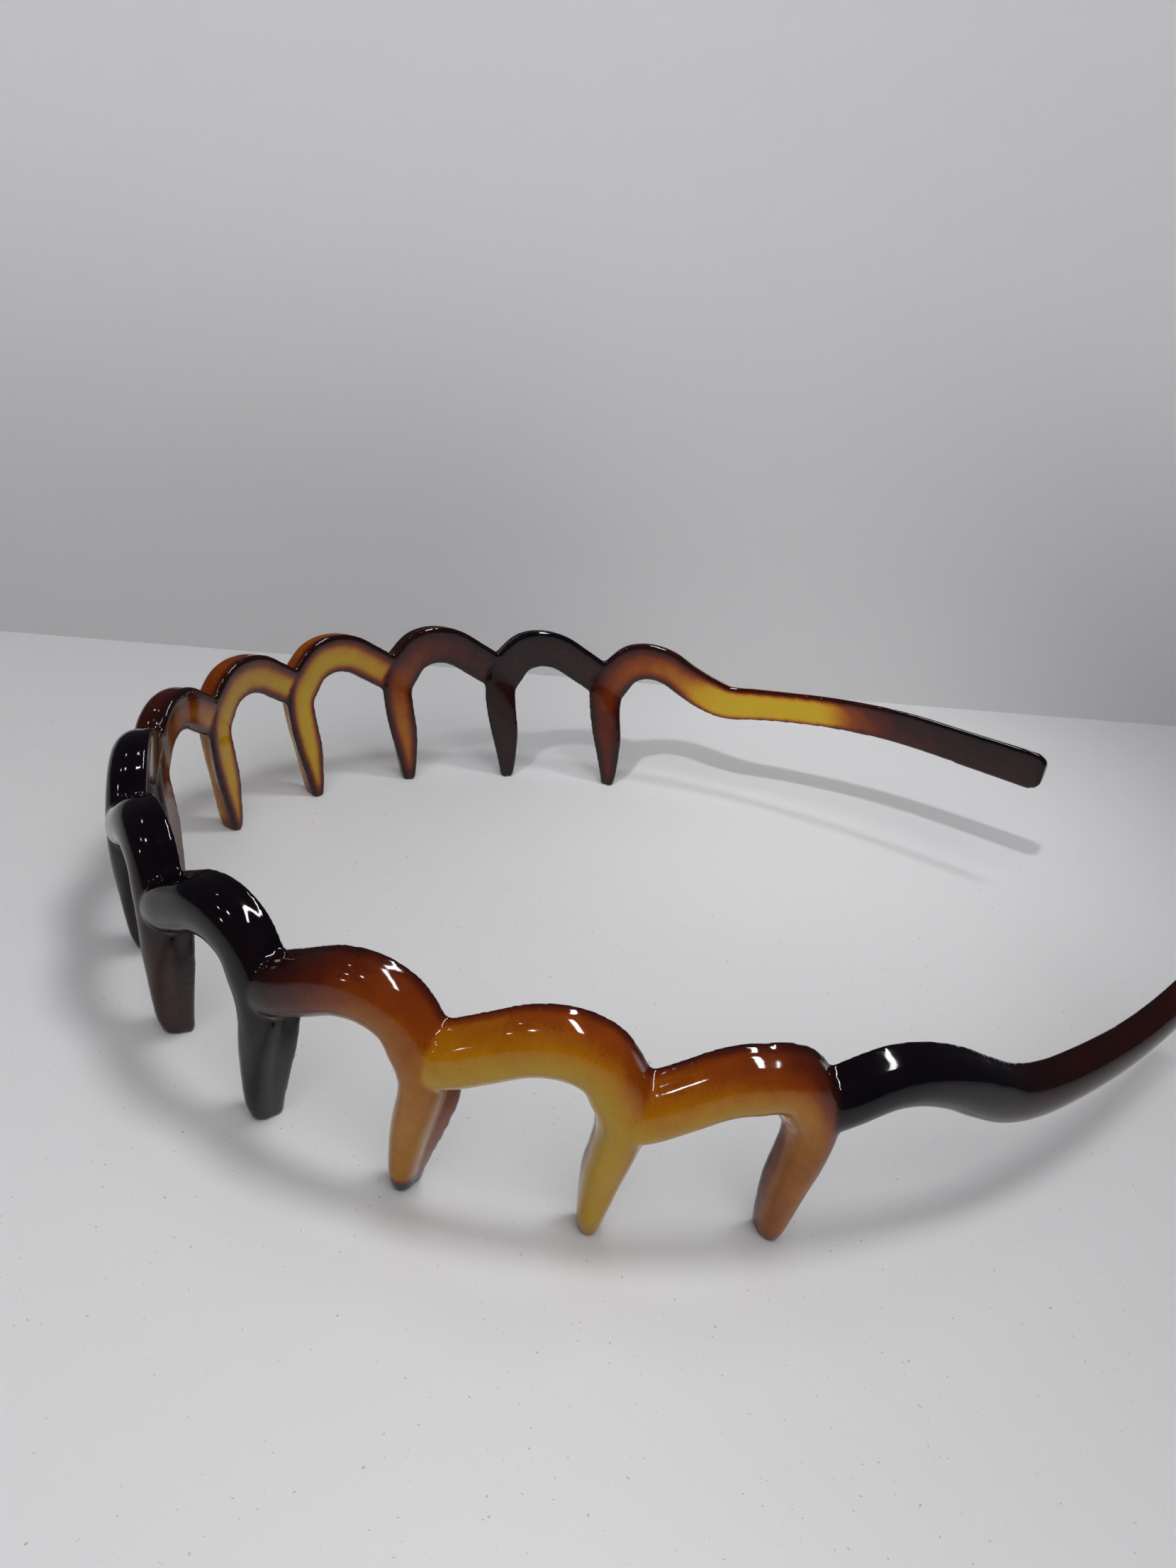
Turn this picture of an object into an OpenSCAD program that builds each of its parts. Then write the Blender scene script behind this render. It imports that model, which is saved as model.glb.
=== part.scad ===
// Toothed headband: one springy plastic band bent in a U, with a row of curved teeth.
// It stands on its tooth tips, with the origin at the tip of the tooth nearest the middle of the crown.
// X runs across the head, Y from the crown to the arm ends, Z up.

/* [Band] */
// Radius of the bend at the crown, on the outer face
crown_r = 57.9; // [54:0.1:64]
// Distance along the band from the crown at which the bend would run out straight, past the plain hump
straight_hump = 192; // [188:1:230]
// The same distance on the other side
straight_far = 205; // [190:1:230]
// Distance along the band from the crown to the end of each arm
arm_end = 187.2; // [184:0.2:190]
// Overall height, from the tooth tips to the top of the waves
overall_h = 26.4; // [24:0.2:29]

/* [Teeth] */
// Number of teeth, one to each wave
teeth = 12; // [12]
// Distance along the band from one tooth to the next
pitch = 19.7; // [19.3:0.1:20]
// How far the row of teeth sits towards the end with no plain hump
row_shift = 2.35; // [2:0.05:3.4]

/* [Section] */
// Share of a section's depth that the rounded outer face takes, along the band
dome_share = 0.7; // [0.4:0.05:0.8]
// The same share on the teeth, which have flatter sides
tooth_dome_share = 0.5; // [0.3:0.05:0.7]
// Rounding of the two back edges
back_round = 0.5; // [0.3:0.1:0.7]

/* [Hidden] */
// How far each step of the plan curve goes along the band, and how many there are to an arm end
plan_step = 1;
plan_n = 200;
// Points round the dome, and steps between two rows of a table
dome_n = 5;
ring_steps = 2;
// Rows of a wave's table that shape its rounded root
root_rows = 3;
// How far before its notch a wave's arch starts to turn down, and where it ends
arch_turn = 9;
arch_end = 2;
// Height at which a tooth starts to lean with its tip
lean_from = 16;
// Heights between which the band's section turns into a tooth's
band_above = 16;
tooth_below = 10;
// How much of what sets a tooth apart there is at each height, from its tip up to the arch
TOOTH_SHARE = [[0, 0.3], [8, 0.8], [11.5, 1], [14.5, 0.9], [18, 0]];
// How far the back of a tooth is shifted to one side of its face, where it is widest
back_lean = 0.4;
// Place of the first notch along the band, beside the tooth nearest the plain hump
first_notch = (teeth - 1) / 2 * pitch - row_shift;

// One wave and its tooth, from the root that lies in the last tooth to the flat tip. Each row is a section:
// [along from the notch, height, turn, face width, back width, face inset, back inset]
WAVE = [
    [-24.0, 16.8,  24, 4.6, 5.2, 2.0, 4.2],
    [-22.4, 17.4,  24, 5.8, 6.4, 0.5, 4.5],
    [-19.6, 18.6,  23, 6.2, 6.8, 0.0, 4.6],
    [-16.0, 20.4,  20, 6.3, 6.9, 0.0, 4.6],
    [-12.4, 22.1,  13, 6.4, 7.0, 0.0, 4.6],
    [ -8.8, 22.6,  -4, 6.6, 7.2, 0.0, 4.6],
    [ -5.5, 21.6, -24, 6.5, 7.2, 0.0, 4.6],
    [ -3.5, 19.3, -42, 6.4, 7.2, 0.0, 4.6],
    [ -2.3, 17.2, -54, 6.1, 7.0, 0.1, 4.7],
    [ -2.0, 14.6, -68, 5.3, 6.7, 0.4, 5.2],
    [ -2.3, 11.5, -80, 4.7, 6.1, 0.9, 5.7],
    [ -2.8,  8.0, -90, 4.1, 5.4, 1.7, 6.2],
    [ -3.1,  4.4, -90, 3.5, 4.2, 2.5, 6.7],
    [ -3.2,  1.8, -90, 2.9, 3.2, 3.2, 7.1],
    [ -3.1,  0.0, -90, 2.2, 2.4, 4.1, 7.4]
];
// How some waves differ from the table, as the moulding came out. Those on the far side are slimmer
// and lean further over their teeth:
// [wave, shift along, further shift of the tip, drop of the arch, slimming of the arch,
//  further shift of the tooth's back, thinning of the tooth]
UNEVEN = [
    [1, 0.7, 0.9, 1.8, 0.0, 0.1, 0.0],
    [2, 0.6, 0.2, 0.0, 0.0, 0.1, 0.0],
    [3, 0.0, -0.4, 0.0, 0.0, 0.5, 0.0],
    [7, 1.9, -1.6, 0.1, 1.1, 0.0, 0.6],
    [8, 1.9, -1.6, 0.4, 1.2, 0.0, 1.1],
    [9, 2.3, -2.3, 0.3, 1.0, 0.0, 0.8],
    [10, 2.1, -2.0, 0.2, 1.0, 0.0, 0.8],
    [11, 2.0, -1.8, 0.2, 1.0, 0.0, 0.8],
    [12, 2.0, -1.8, 0.2, 1.0, 0.0, 0.8]
];
// The plain hump and the arm beyond it, placed from the first notch, up to the rounded end
HUMP_ARM = [
    [ -3.8, 16.6,  20, 4.6, 5.2, 2.0, 4.2],
    [ -2.2, 17.5,  22, 5.6, 6.2, 0.5, 4.5],
    [  0.6, 18.9,  20, 6.0, 6.5, 0.0, 4.5],
    [  5.0, 20.5,  11, 6.1, 6.6, 0.0, 4.4],
    [  9.0, 20.6,  -4, 6.1, 6.6, 0.0, 4.3],
    [ 13.5, 19.5, -18, 6.1, 6.7, 0.0, 4.1],
    [ 18.0, 17.6, -23, 6.2, 6.7, 0.0, 3.9],
    [ 22.5, 15.9, -15, 6.2, 6.7, 0.0, 3.7],
    [ 27.5, 15.2,  -3, 6.2, 6.6, 0.0, 3.5],
    [ 34.0, 15.3,   2, 6.0, 6.4, 0.0, 3.4],
    [ 46.0, 16.0,   4, 5.6, 6.0, 0.0, 3.2],
    [ 60.0, 17.6,   8, 5.4, 5.8, 0.0, 3.1],
    [ 71.0, 19.5,  11, 5.4, 5.8, 0.0, 3.0]
];
// The other arm, placed from the last notch, up into the last wave, which has no root of its own
FAR_ARM = [
    [-64.0, 20.9,   0, 5.5, 5.9, 0.0, 3.0],
    [-52.0, 21.0,  -2, 5.2, 5.6, 0.0, 3.0],
    [-41.0, 20.2,  -6, 5.0, 5.4, 0.0, 3.1],
    [-32.0, 19.0,  -8, 5.0, 5.4, 0.0, 3.2],
    [-26.5, 18.2,  -8, 5.2, 5.6, 0.0, 3.4],
    [-22.0, 17.6,   1, 5.5, 5.9, 0.0, 3.8],
    [-17.8, 18.6,  21, 5.6, 6.1, 0.0, 4.2]
];
// Rounded end of an arm: [distance from the end, share of the full width, share of the full depth]
ARM_TIP = [
    [2.6, 1.04, 1.00],
    [1.3, 0.97, 0.98],
    [0.5, 0.84, 0.92],
    [0.0, 0.62, 0.78]
];
// Height, face width, back width and depth of an arm at its end
END_ROW = [20.9, 5.6, 6.0, 3.0];

// Angle of the band's tangent at a distance along it, below zero on the far side of the crown
function bend(s) =
    let (straight = s < 0 ? straight_far : straight_hump)
    180 / PI / crown_r * (s - s * s * s / (3 * straight * straight));

// Points of the plan curve from the crown to one end, each as [distance along, X, Y]
function half_plan(side, i = 0, p = [0, 0]) =
    let (a = bend(side * (i + 0.5) * plan_step))
    i > plan_n ? [] :
    concat([[side * i * plan_step, p[0], p[1]]],
           half_plan(side, i + 1, p + side * plan_step * [cos(a), sin(a)]));
FAR_HALF = half_plan(-1);
PLAN = concat([for (i = [plan_n : -1 : 1]) FAR_HALF[i]], half_plan(1));
PLAN_X = [for (p = PLAN) [p[0], p[1]]];
PLAN_Y = [for (p = PLAN) [p[0], p[2]]];

// A point at a distance along the band, an inset from its outer face and a height
function on_band(s, inset, z) =
    [lookup(s, PLAN_X) - sin(bend(s)) * inset, lookup(s, PLAN_Y) + cos(bend(s)) * inset, z];

// Outline of one section as [across, inset] pairs: the flat back with its rounded edges, then the dome.
// A back that is shifted leans over along the band.
function section(row, shift) =
    let (face = row[3] / 2, back = row[4] / 2, top = row[5],
         share = lookup(row[1], [[tooth_below, tooth_dome_share], [band_above, dome_share]]),
         foot = top + share * (row[6] - top),
         r = min(back_round, (row[6] - foot) / 2))
    concat(
        [[shift - back, row[6] - r], [shift - back + r, row[6]], [shift + back - r, row[6]], [shift + back, row[6] - r]],
        [for (i = [0 : dome_n - 1]) let (a = 180 * i / (dome_n - 1))
            [face * cos(a), foot - (foot - top) * sin(a)]]
    );

// The ring of points of one section, with its row placed at a distance along the band
function ring(row, origin, shift = 0) =
    [for (q = section(row, shift))
        on_band(origin + row[0] - q[0] * sin(row[2]), q[1], max(0, row[1] + q[0] * cos(row[2])))];

// Rows between the rows of a table, on a smooth curve through them
function between(rows, k, f) =
    let (n = len(rows) - 1, a = rows[max(k - 1, 0)], b = rows[k], c = rows[k + 1], d = rows[min(k + 2, n)])
    b + f * ((c - a) / 2 + f * ((2 * a - 5 * b + 4 * c - d) / 2 + f * (3 * b - 3 * c + d - a) / 2));
function smooth_rows(rows) =
    concat([for (k = [0 : len(rows) - 2]) for (j = [0 : ring_steps - 1]) between(rows, k, j / ring_steps)],
           [rows[len(rows) - 1]]);

// A closed skin over a run of rings
module skin(rings) {
    m = len(rings[0]);
    last = len(rings) - 1;
    sides = [for (i = [0 : last - 1]) for (j = [0 : m - 1])
        let (a = i * m + j, b = i * m + (j + 1) % m)
        each [[a, a + m, b], [b, a + m, b + m]]];
    caps = [[for (j = [0 : m - 1]) j], [for (j = [m - 1 : -1 : 0]) last * m + j]];
    polyhedron(points = [for (r = rings) each r], faces = concat(sides, caps), convexity = 4);
}

// Rows of an arm's rounded end, from the full section outwards; side is 1 or -1 along the band
function tip_rows(side, origin) =
    [for (t = ARM_TIP)
        [side * (arm_end - t[0]) - origin, END_ROW[0], 0, END_ROW[1] * t[1], END_ROW[2] * t[1],
         END_ROW[3] * (1 - t[2]) / 2, END_ROW[3] * (1 + t[2]) / 2]];
function reversed(rows) = [for (i = [len(rows) - 1 : -1 : 0]) rows[i]];

// What the table of uneven waves says of a wave in one of its columns
function uneven(k, column) =
    let (found = search(k, UNEVEN)) found == [] ? 0 : UNEVEN[found[0]][column];

// A row of a wave's table with that wave's own shifts, drop, slimming and thinning worked in
function uneven_row(row, k) =
    let (arch = max(0, min(1, (-row[0] - arch_end) / (arch_turn - arch_end))),
         low = max(0, 1 - row[1] / lean_from),
         slim = -arch * uneven(k, 4))
    row + [uneven(k, 1) + low * uneven(k, 2), -arch * uneven(k, 3), 0, slim, slim,
           lookup(row[1], TOOTH_SHARE) * uneven(k, 6), 0];

// How far the back of a wave's section is shifted at a height, towards the arm with the plain hump
function back_shift(k, height) = lookup(height, TOOTH_SHARE) * (back_lean + uneven(k, 5));

// Middle of the flat tip of a tooth that isn't uneven
function tip_middle(k) =
    let (tip = WAVE[len(WAVE) - 1])
    on_band(first_notch - (k - 1) * pitch + tip[0], (tip[5] + tip[6]) / 2, 0);

module wave(k) {
    rows = [for (row = smooth_rows(WAVE)) uneven_row(row, k)];
    skin([for (row = rows) ring(row, first_notch - (k - 1) * pitch, back_shift(k, row[1]))]);
}

module hump_arm() {
    origin = first_notch + uneven(1, 1);
    rows = concat(HUMP_ARM, tip_rows(1, origin));
    skin([for (row = smooth_rows(rows)) ring(row, origin)]);
}

// The far arm runs on into the last wave and down its tooth
module far_arm_and_last_wave() {
    origin = first_notch - (teeth - 1) * pitch;
    last_wave = [for (i = [root_rows : len(WAVE) - 1]) uneven_row(WAVE[i], teeth)];
    rows = concat(reversed(tip_rows(-1, origin)), FAR_ARM, last_wave);
    skin([for (row = smooth_rows(rows)) ring(row, origin, back_shift(teeth, row[1]))]);
}

module headband() {
    color("saddlebrown") translate(-tip_middle(teeth / 2)) resize([0, 0, overall_h]) union() {
        hump_arm();
        far_arm_and_last_wave();
        for (k = [1 : teeth - 1]) wave(k);
    }
}

headband();
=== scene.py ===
import math

import bpy
import numpy as np
from mathutils import Matrix, Vector
from mathutils.bvhtree import BVHTree


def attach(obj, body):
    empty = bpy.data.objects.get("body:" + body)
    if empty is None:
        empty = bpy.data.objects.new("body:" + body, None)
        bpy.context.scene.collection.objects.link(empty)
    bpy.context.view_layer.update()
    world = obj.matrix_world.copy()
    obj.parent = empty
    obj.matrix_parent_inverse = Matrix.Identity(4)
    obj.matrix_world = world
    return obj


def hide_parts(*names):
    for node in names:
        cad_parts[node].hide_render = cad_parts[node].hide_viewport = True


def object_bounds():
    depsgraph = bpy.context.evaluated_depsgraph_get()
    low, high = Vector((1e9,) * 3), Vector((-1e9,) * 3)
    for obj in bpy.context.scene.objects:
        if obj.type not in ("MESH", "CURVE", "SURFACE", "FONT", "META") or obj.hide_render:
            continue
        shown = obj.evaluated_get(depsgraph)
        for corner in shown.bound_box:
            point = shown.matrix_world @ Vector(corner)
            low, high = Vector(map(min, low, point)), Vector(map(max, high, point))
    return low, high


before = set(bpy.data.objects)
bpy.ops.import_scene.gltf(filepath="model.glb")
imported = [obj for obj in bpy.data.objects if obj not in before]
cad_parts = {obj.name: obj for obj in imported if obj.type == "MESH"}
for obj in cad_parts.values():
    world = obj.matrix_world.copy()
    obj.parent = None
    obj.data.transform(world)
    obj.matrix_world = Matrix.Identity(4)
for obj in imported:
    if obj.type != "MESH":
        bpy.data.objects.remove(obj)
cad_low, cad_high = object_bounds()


# The view: a phone held a hand's width above the table beside the near arm, looking down
# across the band at the pale wall, and leaning a little to one side.
phone_place = Vector((0.14643, 0.00816, 0.09357))
phone_heading = math.radians(163.29)
phone_down = math.radians(23.89)
phone_lean = math.radians(10.33)
phone_sensor = 36
phone_lens = 30.18
nearest_seen = 0.005

look = Vector((
    math.cos(phone_heading) * math.cos(phone_down),
    math.sin(phone_heading) * math.cos(phone_down),
    -math.sin(phone_down),
))
level_right = look.cross(Vector((0, 0, 1))).normalized()
level_up = level_right.cross(look)
phone_right = math.cos(phone_lean) * level_right + math.sin(phone_lean) * level_up
phone_up = phone_right.cross(look)
phone_turn = Matrix((phone_right, phone_up, -look)).transposed().to_4x4()

camera_data = bpy.data.cameras.new("phone_view")
camera_data.sensor_width = phone_sensor
camera_data.lens = phone_lens
camera_data.clip_start = nearest_seen
camera = bpy.data.objects.new("phone_view", camera_data)
camera.matrix_world = Matrix.Translation(phone_place) @ phone_turn
scene = bpy.context.scene
scene.collection.objects.link(camera)
scene.camera = camera
scene.view_settings.view_transform = "Standard"


# The table: a white laminate top with a dull sheen, faintly cloudy from wiping, with a few fine
# specks of dust on it. The band stands on it on its tooth tips.
table_half = 1.5
table_white = (0.75, 0.75, 0.76)
table_cloud = (0.725, 0.725, 0.745)
table_roughness = 0.45
table_dust = 0.12
dust_grey = (0.42, 0.41, 0.42)
dust_fineness = 1700
cloud_fineness = 9
grain_fineness = 2600
grain_strength = 0.12
grain_depth = 0.0001


def sheet_of(name, corners):
    """One flat sheet through four corners."""
    mesh = bpy.data.meshes.new(name)
    mesh.from_pydata(corners, [], [(0, 1, 2, 3)])
    sheet = bpy.data.objects.new(name, mesh)
    scene.collection.objects.link(sheet)
    return sheet


def fresh_material(name):
    """A new material, with its nodes, their links and its shader."""
    material = bpy.data.materials.new(name)
    material.use_nodes = True
    nodes = material.node_tree.nodes
    return material, nodes, material.node_tree.links, nodes["Principled BSDF"]


def noise_group(name, knob, result):
    """The start of an effect that surfaces share: a place, a scale and a knob in, a result out."""
    group = bpy.data.node_groups.new(name, "ShaderNodeTree")
    group.interface.new_socket("Vector", in_out="INPUT", socket_type="NodeSocketVector")
    group.interface.new_socket("Scale", in_out="INPUT", socket_type="NodeSocketFloat")
    group.interface.new_socket(knob, in_out="INPUT", socket_type="NodeSocketFloat")
    group.interface.new_socket(result, in_out="OUTPUT", socket_type="NodeSocketFloat")
    enter = group.nodes.new("NodeGroupInput")
    leave = group.nodes.new("NodeGroupOutput")
    noise = group.nodes.new("ShaderNodeTexNoise")
    group.links.new(enter.outputs["Vector"], noise.inputs["Vector"])
    group.links.new(enter.outputs["Scale"], noise.inputs["Scale"])
    return group, enter, leave, noise


def patch_group():
    """Uneven patches: a value that wanders, by how fine it is and how much detail is in it."""
    group, enter, leave, noise = noise_group("uneven_patches", "Detail", "Patches")
    group.links.new(enter.outputs["Detail"], noise.inputs["Detail"])
    group.links.new(noise.outputs["Fac"], leave.inputs["Patches"])
    return group


def speck_group():
    """Small scattered specks: a mask that is 1 on a speck, by how fine and how many they are."""
    highest_noise = 0.82
    speck_edge = 0.06
    group, enter, leave, noise = noise_group("fine_specks", "Share", "Specks")
    noise.inputs["Detail"].default_value = 2
    above = group.nodes.new("ShaderNodeMapRange")
    above.interpolation_type = "SMOOTHSTEP"
    start = group.nodes.new("ShaderNodeMath")
    start.operation = "SUBTRACT"
    start.inputs[0].default_value = highest_noise
    stop = group.nodes.new("ShaderNodeMath")
    stop.operation = "ADD"
    stop.inputs[1].default_value = speck_edge
    group.links.new(enter.outputs["Share"], start.inputs[1])
    group.links.new(start.outputs[0], stop.inputs[0])
    group.links.new(start.outputs[0], above.inputs["From Min"])
    group.links.new(stop.outputs[0], above.inputs["From Max"])
    group.links.new(noise.outputs["Fac"], above.inputs["Value"])
    group.links.new(above.outputs["Result"], leave.inputs["Specks"])
    return group


uneven_patches = patch_group()
fine_specks = speck_group()


def patches_over(nodes, links, place, fineness, detail):
    """The patches as they lie on one surface."""
    patches = nodes.new("ShaderNodeGroup")
    patches.node_tree = uneven_patches
    patches.inputs["Scale"].default_value = fineness
    patches.inputs["Detail"].default_value = detail
    links.new(place.outputs["Object"], patches.inputs["Vector"])
    return patches.outputs["Patches"]


def specks_over(nodes, links, place, fineness, share):
    """The specks as they lie on one surface."""
    specks = nodes.new("ShaderNodeGroup")
    specks.node_tree = fine_specks
    specks.inputs["Scale"].default_value = fineness
    specks.inputs["Share"].default_value = share
    links.new(place.outputs["Object"], specks.inputs["Vector"])
    return specks.outputs["Specks"]


def pale_surface(name, pale, cloudy, roughness, dust):
    """A pale painted or laminated surface: faint clouds of shade, a fine grain and a little dust."""
    material, nodes, links, skin = fresh_material(name)
    place = nodes.new("ShaderNodeTexCoord")
    shade = nodes.new("ShaderNodeMix")
    shade.data_type = "RGBA"
    shade.inputs["A"].default_value = (*pale, 1)
    shade.inputs["B"].default_value = (*cloudy, 1)
    dusty = nodes.new("ShaderNodeMix")
    dusty.data_type = "RGBA"
    dusty.inputs["B"].default_value = (*dust_grey, 1)
    bump = nodes.new("ShaderNodeBump")
    bump.inputs["Strength"].default_value = grain_strength
    bump.inputs["Distance"].default_value = grain_depth
    links.new(patches_over(nodes, links, place, cloud_fineness, detail=4), shade.inputs["Factor"])
    links.new(shade.outputs["Result"], dusty.inputs["A"])
    links.new(specks_over(nodes, links, place, dust_fineness, dust), dusty.inputs["Factor"])
    links.new(dusty.outputs["Result"], skin.inputs["Base Color"])
    links.new(patches_over(nodes, links, place, grain_fineness, detail=2), bump.inputs["Height"])
    links.new(bump.outputs["Normal"], skin.inputs["Normal"])
    skin.inputs["Roughness"].default_value = roughness
    return material


table_top = sheet_of("table_top", [
    (-table_half, -table_half, 0),
    (table_half, -table_half, 0),
    (table_half, table_half, 0),
    (-table_half, table_half, 0),
])
laminate = pale_surface("white_laminate", table_white, table_cloud, table_roughness, table_dust)
table_top.data.materials.append(laminate)


# The wall behind: a smooth white painted panel standing on the table, with painted shade that
# darkens it towards its foot and one end. It has only a front, so that the band can be looked at
# from behind, and it stays out of the gloss, where a real room is dark.
wall_place = -0.1094
wall_height = 0.15
wall_white = (0.80, 0.80, 0.81)
wall_cloud = (0.785, 0.785, 0.80)
wall_roughness = 0.6
# Painted shade on the wall: how dark the paint is made at its foot and at one end.
painted_foot_shade, foot_reach = 0.76, 0.10
painted_end_shade, end_start, end_stop = 0.94, 0.06, 0.19

wall = sheet_of("wall_panel", [
    (wall_place, -table_half, 0),
    (wall_place, table_half, 0),
    (wall_place, table_half, wall_height),
    (wall_place, -table_half, wall_height),
])
wall_paint = pale_surface("white_wall_paint", wall_white, wall_cloud, wall_roughness, 0.0)
nodes = wall_paint.node_tree.nodes
links = wall_paint.node_tree.links
paint_shader = nodes["Principled BSDF"]
wall_spot = nodes.new("ShaderNodeTexCoord")
wall_axes = nodes.new("ShaderNodeSeparateXYZ")
links.new(wall_spot.outputs["Object"], wall_axes.inputs["Vector"])


def painted_shade_fading(axis, start, stop, shade_before, shade_after):
    """Painted shade: a smooth change of shade painted over the wall, along one of its axes."""
    change = nodes.new("ShaderNodeMapRange")
    change.interpolation_type = "SMOOTHSTEP"
    change.inputs["From Min"].default_value = start
    change.inputs["From Max"].default_value = stop
    change.inputs["To Min"].default_value = shade_before
    change.inputs["To Max"].default_value = shade_after
    links.new(wall_axes.outputs[axis], change.inputs["Value"])
    return change.outputs["Result"]


# The painted shade: the wall's paint colour is darkened towards its foot and towards one end.
both_painted_shades = nodes.new("ShaderNodeMath")
both_painted_shades.operation = "MULTIPLY"
links.new(painted_shade_fading("Z", 0, foot_reach, painted_foot_shade, 1), both_painted_shades.inputs[0])
links.new(painted_shade_fading("Y", end_start, end_stop, 1, painted_end_shade), both_painted_shades.inputs[1])
paint_with_painted_shade = nodes.new("ShaderNodeMix")
paint_with_painted_shade.data_type = "RGBA"
paint_with_painted_shade.blend_type = "MULTIPLY"
paint_with_painted_shade.inputs["Factor"].default_value = 1
plain_paint = paint_shader.inputs["Base Color"].links[0].from_socket
links.new(plain_paint, paint_with_painted_shade.inputs["A"])
links.new(both_painted_shades.outputs[0], paint_with_painted_shade.inputs["B"])
links.new(paint_with_painted_shade.outputs["Result"], paint_shader.inputs["Base Color"])
wall_side = nodes.new("ShaderNodeNewGeometry")
unseen = nodes.new("ShaderNodeBsdfTransparent")
front_only = nodes.new("ShaderNodeMixShader")
links.new(wall_side.outputs["Backfacing"], front_only.inputs["Fac"])
links.new(paint_shader.outputs["BSDF"], front_only.inputs[1])
links.new(unseen.outputs["BSDF"], front_only.inputs[2])
links.new(front_only.outputs["Shader"], nodes["Material Output"].inputs["Surface"])
wall.data.materials.append(wall_paint)
wall.visible_glossy = False


# The room: dim, with white light from a lamp past the arm ends, a soft panel in front, a small
# lamp off to the side and a long narrow one aimed at the top of the wall. The tube, the window
# and the three spots light nothing and only show in the gloss.
room_dimness = 0.04
world = bpy.data.worlds.new("room")
world.use_nodes = True
scene.world = world
nodes = world.node_tree.nodes
links = world.node_tree.links
dim_room = nodes["Background"]
dim_room.inputs["Color"].default_value = (0.95, 0.94, 1.0, 1)
dim_room.inputs["Strength"].default_value = room_dimness
pale_backdrop = nodes.new("ShaderNodeBackground")
pale_backdrop.inputs["Color"].default_value = (0.44, 0.44, 0.455, 1)
ray = nodes.new("ShaderNodeLightPath")
room_or_backdrop = nodes.new("ShaderNodeMixShader")
links.new(ray.outputs["Is Camera Ray"], room_or_backdrop.inputs["Fac"])
links.new(dim_room.outputs["Background"], room_or_backdrop.inputs[1])
links.new(pale_backdrop.outputs["Background"], room_or_backdrop.inputs[2])
links.new(room_or_backdrop.outputs["Shader"], nodes["World Output"].inputs["Surface"])


def hang(name, light, place, aim, in_gloss):
    """Puts a lamp up. It either lights the room, or is only seen as a crisp spot in the gloss."""
    holder = bpy.data.objects.new(name, light)
    holder.location = place
    holder.rotation_mode = "QUATERNION"
    holder.rotation_quaternion = (Vector(aim) - Vector(place)).to_track_quat("-Z", "Y")
    holder.visible_glossy = in_gloss
    holder.visible_diffuse = not in_gloss
    scene.collection.objects.link(holder)


def panel(name, place, aim, size, watts, in_gloss=False, spread=180):
    """A flat lamp of a size in metres, shining within a spread in degrees."""
    light = bpy.data.lights.new(name, "AREA")
    light.shape = "RECTANGLE"
    light.size, light.size_y = size
    light.energy = watts
    light.spread = math.radians(spread)
    hang(name, light, place, aim, in_gloss)


def spot(name, place, aim, radius, watts, width):
    """A shaded lamp whose light fades out towards the edge of a cone of a width in degrees."""
    light = bpy.data.lights.new(name, "SPOT")
    light.shadow_soft_size = radius
    light.energy = watts
    light.spot_size = math.radians(width)
    light.spot_blend = 1
    hang(name, light, place, aim, False)


spot("main_lamp", (0.125, 0.27, 1.0), (0.085, 0.0, 0), 0.15, 20.0, 24)
spot("side_lamp", (0.64, -0.56, 1.02), (-0.047, 0.110, 0.02), 0.03, 34.0, 6.4)
panel("soft_panel", (0.62, -0.05, 0.85), (0.03, 0.03, 0), (0.90, 0.90), 6.1)
panel("wall_panel_lamp", (0.50, 0.05, 0.75), (wall_place, 0.05, 0.15), (1.2, 0.1), 0.13, spread=16)
panel("tube_in_gloss", (-0.10, 0.26, 1.0), (-0.10, 0.26, 0), (0.8, 0.11), 8.0, in_gloss=True)
panel("window_in_gloss", (0.24, -0.58, 1.0), (0.03, 0.0, 0), (0.10, 0.07), 0.8, in_gloss=True)
panel("spot_in_gloss_1", (0.10, -0.80, 0.76), (0.0, 0.0, 0), (0.06, 0.05), 0.24, in_gloss=True)
panel("spot_in_gloss_2", (0.35, -0.98, 0.50), (0.0, 0.0, 0), (0.06, 0.05), 0.24, in_gloss=True)
panel("spot_in_gloss_3", (-0.43, -0.57, 1.0), (0.0, 0.0, 0), (0.05, 0.05), 0.20, in_gloss=True)


# The band: one strip of springy plastic, injection moulded in the shape of a U. This is its
# outer face seen from above, in millimetres: round at the crown, and straighter towards the arm
# ends. The near arm lies on the plus side of the crown, and the far one on the minus side.
crown_radius = 57.9
straight_near = 192.0
straight_far = 205.0
arm_end = 187.2
plan_reach = 200
plan_step = 0.25


def bend(along):
    """Direction of the band at a distance along it from the crown."""
    straight = np.where(np.asarray(along) < 0, straight_far, straight_near)
    return (along - along ** 3 / (3 * straight ** 2)) / crown_radius


plan_along = np.arange(-plan_reach, plan_reach + plan_step, plan_step)
plan_heading = bend(plan_along[:-1] + plan_step / 2)
plan_x = np.concatenate([[0], np.cumsum(np.cos(plan_heading) * plan_step)])
plan_y = np.concatenate([[0], np.cumsum(np.sin(plan_heading) * plan_step)])
crown_index = int(np.argmin(np.abs(plan_along)))
plan_x -= plan_x[crown_index]
plan_y -= plan_y[crown_index]


def on_band(along, inset, height):
    """Points at distances along the band, in from its outer face and up."""
    heading = bend(along)
    x = np.interp(along, plan_along, plan_x) - np.sin(heading) * inset
    y = np.interp(along, plan_along, plan_y) + np.cos(heading) * inset
    return np.stack([x, y, height], axis=-1)


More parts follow.
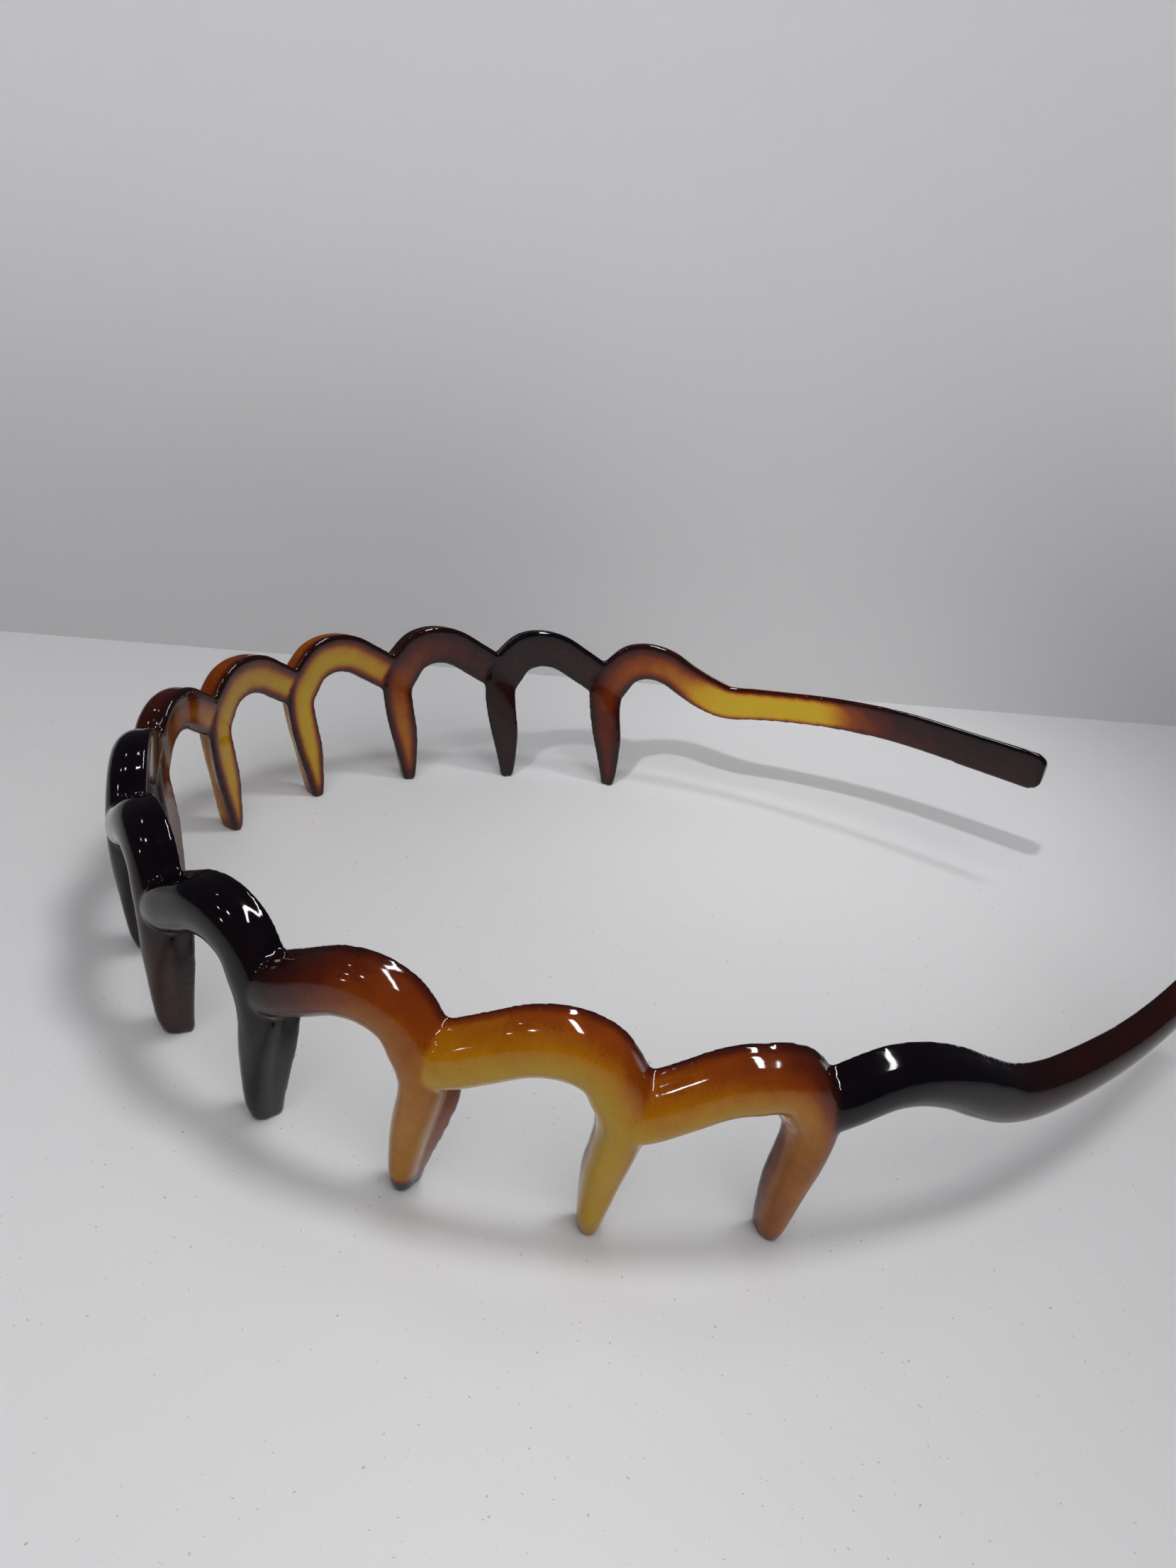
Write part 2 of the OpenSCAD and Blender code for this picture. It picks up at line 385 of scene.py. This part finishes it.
# The section of the moulding: a domed outer face, near-flat sides that spread a little towards
# the back, and a flat inner face with small rounded edges. A table of sections has one row for
# each, with these columns, in millimetres and degrees.
ALONG, HEIGHT, TURN, FACE, BACK, DOME_IN, BACK_IN = range(7)
tooth_dome, band_dome = 0.5, 0.7
tooth_level, band_level = 10, 16
dome_fullness = 2.1
back_edge = 0.55
dome_points = 26
side_points = 5
edge_points = 4
back_points = 9
on_dome, on_side, on_back = 0.0, 1.0, 2.0


def section_outline(row, lean):
    """(across, inset, part) round one section, where part says whether a point lies on the dome,
    a side or the back. A lean shifts the back to one side of the face."""
    face, back = row[FACE] / 2, row[BACK] / 2
    top, depth = row[DOME_IN], row[BACK_IN]
    dome_share = np.interp(row[HEIGHT], [tooth_level, band_level], [tooth_dome, band_dome])
    foot = top + dome_share * (depth - top)
    edge = min(back_edge, (depth - foot) / 2)
    power = 2 / dome_fullness
    round_dome = np.linspace(0, math.pi, dome_points)
    dome_across = face * np.sign(np.cos(round_dome)) * np.abs(np.cos(round_dome)) ** power
    dome_inset = foot - (foot - top) * np.sin(round_dome) ** power
    down = np.linspace(0, 1, side_points + 2)[1:-1]
    side_across = face + (back - face) * down
    side_inset = foot + (depth - edge - foot) * down
    corner = np.linspace(0, math.pi / 2, edge_points)
    corner_across = back - edge + edge * np.cos(corner)
    corner_inset = depth - edge + edge * np.sin(corner)
    flat = np.linspace(-(back - edge), back - edge, back_points + 2)[1:-1]
    across = np.concatenate([
        dome_across,
        lean * down - side_across,
        lean - corner_across,
        lean + flat,
        lean + corner_across[::-1],
        (lean * down + side_across)[::-1],
    ])
    inset = np.concatenate([
        dome_inset,
        side_inset,
        corner_inset,
        np.full(back_points, depth),
        corner_inset[::-1],
        side_inset[::-1],
    ])
    part = np.concatenate([
        np.full(dome_points, on_dome),
        np.full(side_points, on_side),
        np.full(edge_points + back_points + edge_points, on_back),
        np.full(side_points, on_side),
    ])
    return across, inset, part


def between_rows(rows, steps):
    """Rows between the rows of a table, on a smooth curve through them, and where each lies in it."""
    rows = np.asarray(rows, float)
    last = len(rows) - 1
    out = []
    place = []
    for k in range(last):
        a, b, c, d = rows[max(k - 1, 0)], rows[k], rows[k + 1], rows[min(k + 2, last)]
        for j in range(steps):
            f = j / steps
            bent = (2 * a - 5 * b + 4 * c - d) / 2 + f * (3 * b - 3 * c + d - a) / 2
            out.append(b + f * ((c - a) / 2 + f * bent))
            place.append(k + f)
    out.append(rows[last])
    place.append(float(last))
    return np.array(out), np.array(place)


skin_points = []
skin_faces = []
skin_tint = []


def add_skin(rows, leans, origin, tint_at, places):
    """A closed skin over a run of sections. tint_at gives the depth of colour round a section."""
    start = sum(len(ring) for ring in skin_points)
    count = None
    for row, lean, place in zip(rows, leans, places):
        across, inset, part = section_outline(row, lean)
        turn = math.radians(row[TURN])
        along = origin + row[ALONG] - across * math.sin(turn)
        height = np.maximum(0, row[HEIGHT] + across * math.cos(turn))
        skin_points.append(on_band(along, inset, height))
        skin_tint.append(tint_at(place, across - lean * (part == on_back), part, row))
        count = len(across)
    for i in range(len(rows) - 1):
        for j in range(count):
            a = start + i * count + j
            b = start + i * count + (j + 1) % count
            skin_faces.append((a, b, b + count, a + count))
    skin_faces.append(tuple(start + j for j in range(count))[::-1])
    skin_faces.append(tuple(start + (len(rows) - 1) * count + j for j in range(count)))


# The colouring: amber plastic with brown to black sprayed on in passes from the outside, so
# that the outer face runs from amber to black along the band, the crests and sides are browner,
# and the inner face stays clear yellow between dark edges. The darker tops and shoulders of the
# waves are partly this spray and partly painted shade. A depth of 0 is amber, and 1 black.
side_browning = 0.30
edge_browning = 0.88
back_clearing = 0.10
edge_start = 0.2


def smooth_step(value, low, high):
    """0 below low, 1 above high, and an even change in between."""
    f = np.clip((value - low) / (high - low), 0, 1)
    return f * f * (3 - 2 * f)


def shell_tint(base, across, part, row, edge_width):
    """Adds what the sides, the dark edges and the clear back do to a depth of colour."""
    from_edge = row[BACK] / 2 - np.abs(across)
    edge = 1 - smooth_step(from_edge, edge_start, edge_width)
    back = np.clip(base - back_clearing, 0, 1)
    back = back + (np.maximum(edge_browning, base) - back) * edge
    side = base + side_browning * (1 - base)
    return np.where(part == on_back, back, np.where(part == on_side, side, base))


# The teeth and waves: each wave rises out of the tooth before it, arches over and runs down
# into its own tooth, which tapers to a small flat tip. They are all one moulding, and the waves
# differ a little, as the real ones do.
teeth = 12
pitch = 19.7
crown_shift = 2.35
first_notch = (teeth - 1) / 2 * pitch - crown_shift
WAVE = [
    # along from the notch, height, turn, face, back, dome in, back in
    [-24.0, 16.8, 24, 4.6, 5.2, 2.0, 4.2],
    [-22.4, 17.4, 24, 5.8, 6.4, 0.5, 4.5],
    [-19.6, 18.6, 23, 6.2, 6.8, 0.0, 4.6],
    [-16.0, 20.4, 20, 6.3, 6.9, 0.0, 4.6],
    [-12.4, 22.1, 13, 6.4, 7.0, 0.0, 4.6],
    [-8.8, 22.6, -4, 6.6, 7.2, 0.0, 4.6],
    [-5.5, 21.6, -24, 6.5, 7.2, 0.0, 4.6],
    [-3.5, 19.3, -42, 6.4, 7.2, 0.0, 4.6],
    [-2.3, 17.2, -54, 6.1, 7.0, 0.1, 4.7],
    [-2.0, 14.6, -68, 5.3, 6.7, 0.4, 5.2],
    [-2.3, 11.5, -80, 4.7, 6.1, 0.9, 5.7],
    [-2.8, 8.0, -90, 4.1, 5.4, 1.7, 6.2],
    [-3.1, 4.4, -90, 3.5, 4.2, 2.5, 6.7],
    [-3.2, 1.8, -90, 2.9, 3.2, 3.2, 7.1],
    [-3.1, 0.0, -90, 2.2, 2.4, 4.1, 7.4],
]
UNEVEN = {
    # wave: shift along, more shift at the tip, drop and slimming of the arch, lean of the back, thinning
    1: (0.7, 0.9, 1.8, 0.0, 0.1, 0.0),
    2: (0.6, 0.2, 0.0, 0.0, 0.1, 0.0),
    3: (0.0, -0.4, 0.0, 0.0, 0.5, 0.0),
    7: (1.9, -1.6, 0.1, 1.1, 0.0, 0.6),
    8: (1.9, -1.6, 0.4, 1.2, 0.0, 1.1),
    9: (2.3, -2.3, 0.3, 1.0, 0.0, 0.8),
    10: (2.1, -2.0, 0.2, 1.0, 0.0, 0.8),
    11: (2.0, -1.8, 0.2, 1.0, 0.0, 0.8),
    12: (2.0, -1.8, 0.2, 1.0, 0.0, 0.8),
}
WAVE_TINT = {
    # wave: low and top at the root, low and top at the crest, notch, tooth, tip; the tops and the notch
    # are darker partly as painted shade
    1: (0.16, 0.38, 0.24, 0.62, 1.00, 0.42, 0.52),
    2: (0.15, 0.36, 0.16, 0.52, 0.58, 0.15, 0.26),
    3: (1.00, 1.00, 0.42, 0.65, 0.50, 0.30, 0.98),
    4: (1.00, 1.00, 1.00, 1.00, 1.00, 0.96, 0.96),
    5: (0.90, 0.96, 0.97, 1.00, 1.00, 0.80, 0.84),
    6: (0.88, 0.94, 0.96, 1.00, 1.00, 0.94, 0.94),
    7: (0.30, 0.55, 0.62, 0.76, 0.88, 0.74, 0.84),
    8: (0.20, 0.40, 0.26, 0.52, 0.58, 0.24, 0.52),
    9: (0.34, 0.54, 0.18, 0.42, 0.50, 0.18, 0.50),
    10: (0.95, 1.00, 0.80, 0.90, 0.80, 0.50, 0.66),
    11: (0.90, 0.95, 1.00, 1.00, 1.00, 0.95, 0.94),
    12: (0.40, 0.60, 0.55, 0.75, 0.90, 0.80, 0.86),
}
even = (0, 0, 0, 0, 0, 0)
common_lean = 0.4
arch_start, arch_run = -2, 7
bent_tooth_top = 16
TOOTH_SHARE = [
    # height, share of what sets a tooth apart
    (0, 0.3), (8, 0.8), (11.5, 1.0), (14.5, 0.9), (18, 0.0),
]
tint_rows = [1, 5, 7.5, 10.5]
top_start, top_full = -0.25, 1.0
wave_edge = 2.1
tip_end, tip_start = 0.8, 2.6
row_steps = 10


def wave_tint(number, rows_before):
    """The depth of colour of one wave, in a table that has some rows before those of the wave."""
    root_low, root_top, crest_low, crest_top, notch, tooth, tip = WAVE_TINT[number]
    lows = [root_low, crest_low, (crest_low + tooth) / 2, tooth]
    tops = [root_top, crest_top, notch, tooth]

    def tint_at(place, across, part, row):
        low = np.interp(place - rows_before, tint_rows, lows)
        top = np.interp(place - rows_before, tint_rows, tops)
        # Darker towards the top of the section and on the shoulder by the notch: partly sprayed colour,
        # partly painted shade.
        base = low + (top - low) * smooth_step(across / (row[BACK] / 2), top_start, top_full)
        base += (tip - base) * (1 - smooth_step(row[HEIGHT], tip_end, tip_start))
        return shell_tint(base, across, part, row, wave_edge)

    return tint_at


def tooth_share(height):
    """How much of what sets a tooth apart there is at a height, from its tip up to the arch."""
    heights, shares = zip(*TOOTH_SHARE)
    return np.interp(height, heights, shares)


def uneven_rows(rows, number):
    """The rows of a wave, shifted, lowered, slimmed and thinned by what sets that wave apart."""
    shift, tip_shift, drop, slim, _, thin = UNEVEN.get(number, even)
    rows = np.array(rows, float)
    arch = np.clip((arch_start - rows[:, ALONG]) / arch_run, 0, 1)
    low = np.maximum(0, 1 - rows[:, HEIGHT] / bent_tooth_top)
    rows[:, DOME_IN] += tooth_share(rows[:, HEIGHT]) * thin
    rows[:, ALONG] += shift + low * tip_shift
    rows[:, HEIGHT] -= arch * drop
    rows[:, FACE] -= arch * slim
    rows[:, BACK] -= arch * slim
    return rows


def back_leans(rows, number):
    """How far the back leans to one side of the face, row by row."""
    lean = UNEVEN.get(number, even)[4]
    return tooth_share(rows[:, HEIGHT]) * (common_lean + lean)


for number in range(1, teeth):
    rows, places = between_rows(WAVE, row_steps)
    rows = uneven_rows(rows, number)
    notch_place = first_notch - (number - 1) * pitch
    add_skin(rows, back_leans(rows, number), notch_place, wave_tint(number, 0), places)


# The arms: plain strips with rounded ends, part of the same moulding. The near one leaves the
# first tooth in a low hump with no tooth of its own, and the far one runs straight into the
# last wave.
HUMP_ARM = [
    # along from the first notch, height, turn, face, back, dome in, back in
    [-3.8, 16.6, 20, 4.6, 5.2, 2.0, 4.2],
    [-2.2, 17.5, 22, 5.6, 6.2, 0.5, 4.5],
    [0.6, 18.9, 20, 6.0, 6.5, 0.0, 4.5],
    [5.0, 20.5, 11, 6.1, 6.6, 0.0, 4.4],
    [9.0, 20.6, -4, 6.1, 6.6, 0.0, 4.3],
    [13.5, 19.5, -18, 6.1, 6.7, 0.0, 4.1],
    [18.0, 17.6, -23, 6.2, 6.7, 0.0, 3.9],
    [22.5, 15.9, -15, 6.2, 6.7, 0.0, 3.7],
    [27.5, 15.2, -3, 6.2, 6.6, 0.0, 3.5],
    [34.0, 15.3, 2, 6.0, 6.4, 0.0, 3.4],
    [46.0, 16.0, 4, 5.6, 6.0, 0.0, 3.2],
    [60.0, 17.6, 8, 5.4, 5.8, 0.0, 3.1],
    [71.0, 19.5, 11, 5.4, 5.8, 0.0, 3.0],
]
FAR_ARM = [
    # along from the last notch, height, turn, face, back, dome in, back in
    [-64.0, 20.9, 0, 5.5, 5.9, 0.0, 3.0],
    [-52.0, 21.0, -2, 5.2, 5.6, 0.0, 3.0],
    [-41.0, 20.2, -6, 5.0, 5.4, 0.0, 3.1],
    [-32.0, 19.0, -8, 5.0, 5.4, 0.0, 3.2],
    [-26.5, 18.2, -8, 5.2, 5.6, 0.0, 3.4],
    [-22.0, 17.6, 1, 5.5, 5.9, 0.0, 3.8],
    [-17.8, 18.6, 21, 5.6, 6.1, 0.0, 4.2],
]
ARM_TIP = [
    # back from the end, share of the width, share of the depth
    (2.6, 1.04, 1.00),
    (1.3, 0.97, 0.98),
    (0.5, 0.84, 0.92),
    (0.0, 0.62, 0.78),
]
end_height, end_face, end_back, end_depth = 20.9, 5.6, 6.0, 3.0
NEAR_ARM_TINT = [
    # along from the crown, depth of colour
    (100, 0.86), (105, 0.94), (112, 1.0), (124, 0.98), (132, 0.86), (150, 0.82), (162, 0.80),
    (167, 0.40), (171, 0.12), (175, 0.20), (179, 0.80), (183, 1.0), (187, 1.0),
]
FAR_ARM_TINT = [
    # along from the crown, depth of colour
    (-187, 1.0), (-176, 1.0), (-168, 0.95), (-162, 0.90), (-157.5, 0.76), (-154, 0.60),
    (-151.5, 0.36), (-149, 0.12), (-146, 0.06), (-138, 0.04), (-128, 0.06), (-122, 0.40),
    (-116, 0.60),
]
arm_edge = 1.1
arm_top_browning = 0.10
arm_top_start, arm_top_full = -0.7, 0.7
root_rows = 3


def tip_rows(side, origin):
    """The rows of a rounded arm end, on the plus or the minus side of the crown."""
    return [[
        side * (arm_end - back_from) - origin, end_height, 0, end_face * wide, end_back * wide,
        end_depth * (1 - deep) / 2, end_depth * (1 + deep) / 2,
    ] for back_from, wide, deep in ARM_TIP]


def arm_tint(stops, origin):
    """The depth of colour of an arm by the distance from the crown, a little browner on top."""
    distances, depths = zip(*stops)

    def tint_at(place, across, part, row):
        base = np.interp(origin + row[ALONG], distances, depths)
        share = smooth_step(across / (row[BACK] / 2), arm_top_start, arm_top_full)
        base = np.clip(base + arm_top_browning * (share - 0.5), 0, 1)
        return shell_tint(base, across, part, row, arm_edge)

    return tint_at


near_origin = first_notch + UNEVEN[1][0]
rows, places = between_rows(HUMP_ARM + tip_rows(1, near_origin), row_steps)
add_skin(rows, np.zeros(len(rows)), near_origin, arm_tint(NEAR_ARM_TINT, near_origin), places)

far_origin = first_notch - (teeth - 1) * pitch
far_rows = tip_rows(-1, far_origin)[::-1] + FAR_ARM
last_wave_rows = uneven_rows(WAVE[root_rows:], teeth).tolist()
last_wave_tint = wave_tint(teeth, len(far_rows) - root_rows)
far_tint = arm_tint(FAR_ARM_TINT, far_origin)


def far_and_last_wave_tint(place, across, part, row):
    """Passes from the colour of the far arm to that of the last wave, where they meet."""
    share = smooth_step(place, len(far_rows) - 2, len(far_rows) + 1)
    of_arm = far_tint(place, across, part, row)
    of_wave = last_wave_tint(place, across, part, row)
    return (1 - share) * of_arm + share * of_wave


rows, places = between_rows(far_rows + last_wave_rows, row_steps)
add_skin(rows, back_leans(rows, teeth), far_origin, far_and_last_wave_tint, places)


# The moulding: the waves, teeth and arms come out of the mould as one body, so the skins are
# fused, the creases between them are softened, and the body is then laid back onto the skins
# wherever one lies close by and faces the same way.
grid = 0.375
crease_softening = 8
last_softening = 3
relax, restore = 0.55, -0.53
last_relax = 0.4
lay_back_reach = 0.3
same_way = 0.9
nearest_corner = 0.02
tint_softening = 2
tint_relax = 0.5
wave_at_origin = 6

points = np.concatenate(skin_points)
tints = np.concatenate(skin_tint)
skins = bpy.data.meshes.new("skins")
skins.from_pydata(points.tolist(), [], skin_faces)
skins_holder = bpy.data.objects.new("skins", skins)
scene.collection.objects.link(skins_holder)
fuse = skins_holder.modifiers.new("fuse", "REMESH")
fuse.mode = "VOXEL"
fuse.voxel_size = grid
bpy.context.view_layer.update()
fused = skins_holder.evaluated_get(bpy.context.evaluated_depsgraph_get())
moulding = bpy.data.meshes.new_from_object(fused)
bpy.data.objects.remove(skins_holder)

count = len(moulding.vertices)
body = np.empty(count * 3)
moulding.vertices.foreach_get("co", body)
body = body.reshape(-1, 3)
edges = np.empty(len(moulding.edges) * 2, dtype=np.int64)
moulding.edges.foreach_get("vertices", edges)
edges = edges.reshape(-1, 2)
neighbours = np.bincount(edges.ravel(), minlength=count).astype(float)


def towards_neighbours(values, part):
    """Moves each value part of the way to the mean of its neighbours."""
    total = np.zeros_like(values)
    np.add.at(total, edges[:, 0], values[edges[:, 1]])
    np.add.at(total, edges[:, 1], values[edges[:, 0]])
    mean = total / (neighbours[:, None] if values.ndim > 1 else neighbours)
    return values + part * (mean - values)


def softened(values, rounds):
    """Evens the surface out without making it thinner."""
    for _ in range(rounds):
        values = towards_neighbours(values, relax)
        values = towards_neighbours(values, restore)
    return values


def write_body():
    """Puts the points of the body into the mesh."""
    moulding.vertices.foreach_set("co", body.ravel())
    moulding.update()


body = softened(body, crease_softening)
write_body()
facing = np.empty(count * 3)
moulding.vertices.foreach_get("normal", facing)
surface = BVHTree.FromPolygons(points.tolist(), skin_faces)
for index, (point, outward) in enumerate(zip(body.tolist(), facing.reshape(-1, 3).tolist())):
    place, normal, _, _ = surface.find_nearest(point, lay_back_reach)
    if place is not None and normal.dot(Vector(outward)) > same_way:
        body[index] = place
body = softened(body, last_softening)
body = towards_neighbours(body, last_relax)
body[:, 2] -= body[:, 2].min()
body[:, 2] *= cad_high[2] * 1000 / body[:, 2].max()

tint = np.empty(count)
for index, point in enumerate(body.tolist()):
    place, _, face, _ = surface.find_nearest(point)
    corners = list(skin_faces[face])
    closeness = 1 / (np.linalg.norm(points[corners] - place, axis=1) + nearest_corner)
    tint[index] = (tints[corners] * closeness).sum() / closeness.sum()
for _ in range(tint_softening):
    tint = towards_neighbours(tint, tint_relax)
attribute = moulding.attributes.new("tint", "FLOAT", "POINT")
attribute.data.foreach_set("value", tint.astype(np.float32))

tip_row = WAVE[-1]
crown_tip_along = first_notch - (wave_at_origin - 1) * pitch + tip_row[ALONG]
crown_tip = on_band(crown_tip_along, (tip_row[DOME_IN] + tip_row[BACK_IN]) / 2, 0.0)
body[:, :2] -= crown_tip[:2]
body *= 0.001
write_body()
moulding.polygons.foreach_set("use_smooth", np.ones(len(moulding.polygons), dtype=bool))
headband = bpy.data.objects.new("toothed_headband", moulding)
scene.collection.objects.link(headband)


# The plastic: hard glossy acetate-like plastic, amber to black by the depth of the spray,
# faintly mottled and speckled, and clear enough for light to soften in it.
AMBER_TO_BLACK = [
    # depth of colour, colour
    (0.00, (0.50, 0.335, 0.010)),
    (0.14, (0.49, 0.285, 0.006)),
    (0.32, (0.40, 0.150, 0.003)),
    (0.50, (0.22, 0.042, 0.003)),
    (0.68, (0.085, 0.012, 0.004)),
    (0.84, (0.022, 0.005, 0.004)),
    (1.00, (0.003, 0.002, 0.004)),
]
mottle_fineness, mottle_strength = 420, 0.16
spray_fineness, spray_strength = 4200, 0.10
speck_fineness, speck_share = 2400, 0.10
speck_shade = (0.35, 0.28, 0.25)
smudge_fineness = 160
smudge_start, smudge_full = 0.35, 0.75
polished, smudged = 0.04, 0.12
ripple_fineness = 900
ripple_strength = 0.12
ripple_depth = 0.00006

shell, nodes, links, skin = fresh_material("tortoiseshell_plastic")
place = nodes.new("ShaderNodeTexCoord")
depth = nodes.new("ShaderNodeAttribute")
depth.attribute_name = "tint"
mottled = nodes.new("ShaderNodeMath")
mottled.operation = "MULTIPLY_ADD"
mottled.inputs[1].default_value = mottle_strength
sprayed = nodes.new("ShaderNodeMath")
sprayed.operation = "MULTIPLY_ADD"
sprayed.inputs[1].default_value = spray_strength
centred = nodes.new("ShaderNodeMath")
centred.operation = "SUBTRACT"
centred.inputs[1].default_value = (mottle_strength + spray_strength) / 2
links.new(patches_over(nodes, links, place, mottle_fineness, detail=4), mottled.inputs[0])
links.new(depth.outputs["Fac"], mottled.inputs[2])
links.new(patches_over(nodes, links, place, spray_fineness, detail=2), sprayed.inputs[0])
links.new(mottled.outputs[0], sprayed.inputs[2])
links.new(sprayed.outputs[0], centred.inputs[0])

colours = nodes.new("ShaderNodeValToRGB")
ramp = colours.color_ramp
while len(ramp.elements) < len(AMBER_TO_BLACK):
    ramp.elements.new(0.5)
for element, (position, colour) in zip(ramp.elements, AMBER_TO_BLACK):
    element.position = position
    element.color = (*colour, 1)
speckled = nodes.new("ShaderNodeMix")
speckled.data_type = "RGBA"
speckled.blend_type = "MULTIPLY"
speckled.inputs["B"].default_value = (*speck_shade, 1)
links.new(centred.outputs[0], colours.inputs["Fac"])
links.new(colours.outputs["Color"], speckled.inputs["A"])
links.new(specks_over(nodes, links, place, speck_fineness, speck_share), speckled.inputs["Factor"])
links.new(speckled.outputs["Result"], skin.inputs["Base Color"])

smudges = nodes.new("ShaderNodeMapRange")
smudges.inputs["From Min"].default_value = smudge_start
smudges.inputs["From Max"].default_value = smudge_full
smudges.inputs["To Min"].default_value = polished
smudges.inputs["To Max"].default_value = smudged
links.new(patches_over(nodes, links, place, smudge_fineness, detail=5), smudges.inputs["Value"])
links.new(smudges.outputs["Result"], skin.inputs["Roughness"])
ripples = nodes.new("ShaderNodeBump")
ripples.inputs["Strength"].default_value = ripple_strength
ripples.inputs["Distance"].default_value = ripple_depth
links.new(patches_over(nodes, links, place, ripple_fineness, detail=3), ripples.inputs["Height"])
links.new(ripples.outputs["Normal"], skin.inputs["Normal"])
skin.inputs["IOR"].default_value = 1.5
skin.inputs["Specular IOR Level"].default_value = 0.40
skin.inputs["Subsurface Weight"].default_value = 0.15
skin.inputs["Subsurface Radius"].default_value = (1.0, 0.6, 0.15)
skin.inputs["Subsurface Scale"].default_value = 0.002
moulding.materials.append(shell)

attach(headband, "root")
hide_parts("headband")
